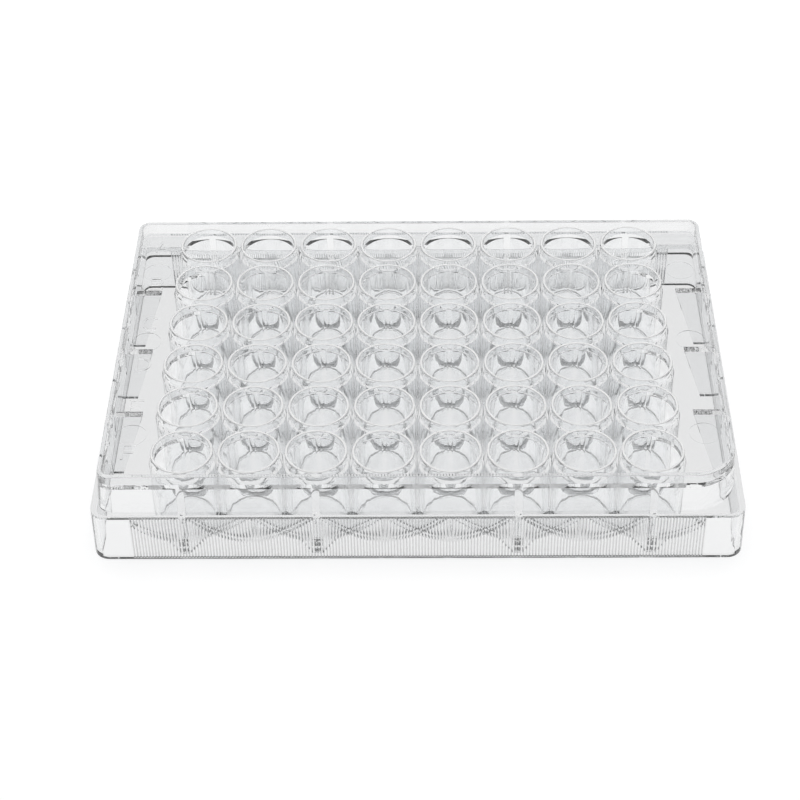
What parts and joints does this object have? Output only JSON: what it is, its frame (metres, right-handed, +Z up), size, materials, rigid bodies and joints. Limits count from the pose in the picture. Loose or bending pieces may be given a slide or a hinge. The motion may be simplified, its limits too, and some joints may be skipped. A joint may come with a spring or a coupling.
{
  "type": "well plate",
  "caption": "Clear moulded plate with a grid of round flat-bottomed wells in a raised-lip deck, on a stepped hollow skirt with finely ridged long sides.",
  "frame": {"origin": "middle of the footprint, on the surface that the plate stands on", "axes": "+X along a row of wells from column 1 to the last column, +Y from the last row towards row A, +Z up out of the wells"},
  "size_m": [0.1278, 0.0854, 0.0202],
  "materials": {
    "clear_polystyrene": "clear glossy moulded polystyrene"
  },
  "bodies": {
    "root": {"well_plate": "clear_polystyrene"}
  },
  "joints": []
}
